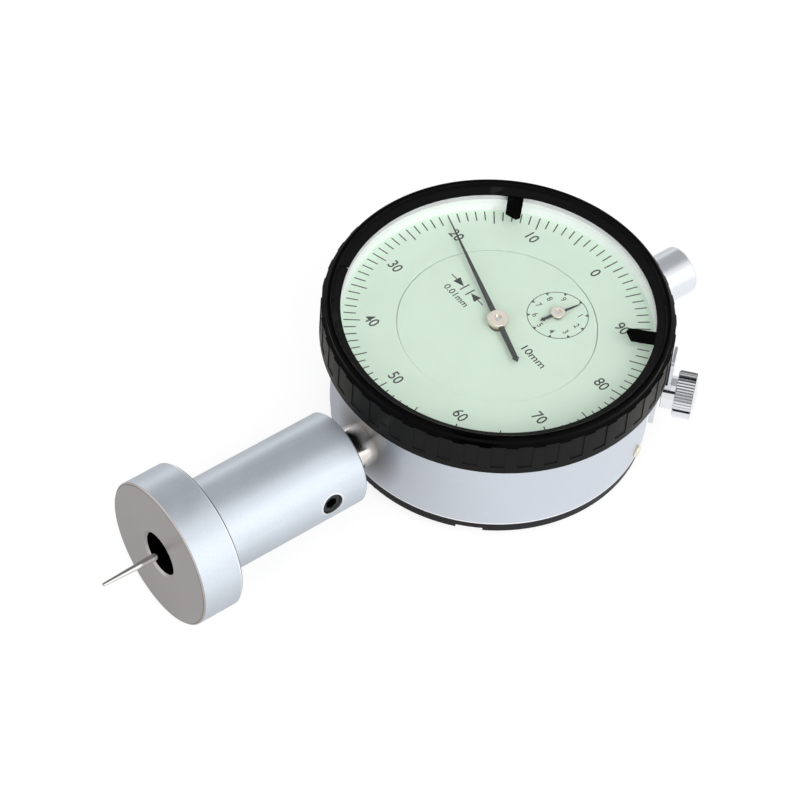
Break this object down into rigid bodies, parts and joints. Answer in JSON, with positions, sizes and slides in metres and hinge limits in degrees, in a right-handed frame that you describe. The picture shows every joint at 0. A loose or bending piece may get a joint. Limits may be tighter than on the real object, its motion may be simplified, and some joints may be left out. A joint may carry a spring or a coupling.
{
  "type": "dial depth gauge",
  "caption": "Dial indicator on a round stepped base, with a needle that reaches through the base to measure depth; graduated dial, turning bezel with clamp, limit hands and closed cap.",
  "frame": {"origin": "on the spindle axis, in the plane of the base's measuring face", "axes": "+Y along the spindle from the measuring face to the cap, +X to 3 o'clock, +Z out of the dial; the gauge lies on its back"},
  "size_m": [0.0616, 0.1262, 0.0314],
  "materials": {
    "satin_chrome": "satin chrome",
    "case_silver": "satin silver",
    "cap_aluminium": "bright satin",
    "ground_steel": "ground",
    "fine_screws": "polished",
    "spring_steel": "drawn wire",
    "black_oxide": "black oxide",
    "black_cover": "fine grained",
    "black_bezel": "semi gloss",
    "matte_black": "matte",
    "green_dial": "satin print",
    "white_ring": "satin",
    "clear_crystal": "clear",
    "charcoal_hand": "charcoal paint",
    "nickel": "nickel plate",
    "brass": "turned",
    "pale_brass": "satin",
    "ruby": "polished ruby",
    "seal_rubber": "matte",
    "bright_chrome": "bright"
  },
  "bodies": {
    "root": {"measuring_base": "satin_chrome", "base_set_screw": "black_oxide", "stem": "ground_steel", "stem_bushes": "brass", "case_body": "case_silver", "case_plug_screw": "pale_brass", "back_cover": "black_cover", "back_cover_screws": "fine_screws", "back_cover_seal": "seal_rubber", "top_bush": "brass", "dust_cap": "cap_aluminium", "guide_plate": "ground_steel", "guide_plate_screws": "fine_screws", "spring_post": "ground_steel", "return_spring": "spring_steel", "lower_movement_plate": "brass", "lower_plate_screws": "fine_screws", "plate_pillars": "ground_steel", "upper_movement_plate": "brass", "upper_plate_screws": "fine_screws", "pinion_bridge": "brass", "pinion_bridge_screw": "fine_screws", "movement_jewels": "ruby", "hairspring": "spring_steel", "hairspring_stud": "brass", "inner_dial": "green_dial", "bezel_wire_ring": "ground_steel"},
    "spindle": {"spindle_rack": "ground_steel", "guide_pin": "ground_steel", "needle_holder": "ground_steel", "needle_point": "ground_steel"},
    "rack_gear": {"rack_pinion_arbor": "ground_steel", "rack_wheel": "brass"},
    "centre_gear": {"centre_pinion_arbor": "ground_steel", "main_hand": "charcoal_hand", "main_hand_bush": "brass", "main_hand_hub": "nickel"},
    "take_up_gear": {"take_up_arbor": "ground_steel", "take_up_wheel": "brass", "hairspring_collet": "brass", "revolution_hand": "charcoal_hand", "revolution_hand_bush": "brass", "revolution_hand_hub": "nickel"},
    "bezel_group": {"bezel": "black_bezel", "outer_dial": "green_dial", "dial_wall_ring": "white_ring", "crystal": "clear_crystal", "crystal_split_ring": "matte_black"},
    "left_marker": {"limit_hand_left": "matte_black"},
    "right_marker": {"limit_hand_right": "matte_black"},
    "clamp_plate": {"clamp_strip": "bright_chrome"},
    "clamp_knob": {"clamp_screw": "bright_chrome"}
  },
  "joints": [
    {"name": "spindle_slide", "type": "slide", "parent": "root", "child": "spindle", "axis": [0, 1, 0], "range_m": [0, 0.0112], "stiffness_N_per_m": 40, "springref_m": -0.02, "deforming": ["return_spring"]},
    {"name": "rack_gear_turn", "type": "hinge", "parent": "root", "child": "rack_gear", "pos_m": [-0.00368, 0.06077, 0.0055], "axis": [0, 0, 1], "range_deg": [-1, 405]},
    {"name": "main_hand_turn", "type": "hinge", "parent": "root", "child": "centre_gear", "pos_m": [0, 0.07107, 0.0055], "axis": [0, 0, 1], "range_deg": [-4034, 2]},
    {"name": "revolution_hand_turn", "type": "hinge", "parent": "root", "child": "take_up_gear", "pos_m": [0.0042, 0.08117, 0.0055], "axis": [0, 0, 1], "range_deg": [-1, 405]},
    {"name": "bezel_turn", "type": "hinge", "parent": "root", "child": "bezel_group", "pos_m": [0, 0.07107, 0.012], "axis": [0, 0, 1], "continuous": true},
    {"name": "left_marker_turn", "type": "hinge", "parent": "bezel_group", "child": "left_marker", "pos_m": [0, 0.07107, 0.0161], "axis": [0, 0, 1], "range_deg": [-40, 120]},
    {"name": "right_marker_turn", "type": "hinge", "parent": "bezel_group", "child": "right_marker", "pos_m": [0, 0.07107, 0.0161], "axis": [0, 0, 1], "range_deg": [-120, 40]},
    {"name": "clamp_strip_slide", "type": "slide", "parent": "root", "child": "clamp_plate", "axis": [0.7604, 0.6494, 0], "range_m": [0, 0.0004]},
    {"name": "clamp_screw_turn", "type": "hinge", "parent": "root", "child": "clamp_knob", "pos_m": [0.02281, 0.09055, 0.0044], "axis": [0.7604, 0.6494, 0], "range_deg": [-1, 290]}
  ],
  "couplings": [
    {"joint": "rack_gear_turn", "follows": "spindle_slide", "rad_per_m": 628.32},
    {"joint": "main_hand_turn", "follows": "spindle_slide", "rad_per_m": -6283.2},
    {"joint": "revolution_hand_turn", "follows": "spindle_slide", "rad_per_m": 628.32},
    {"joint": "clamp_screw_turn", "follows": "clamp_strip_slide", "rad_per_m": 12566}
  ]
}
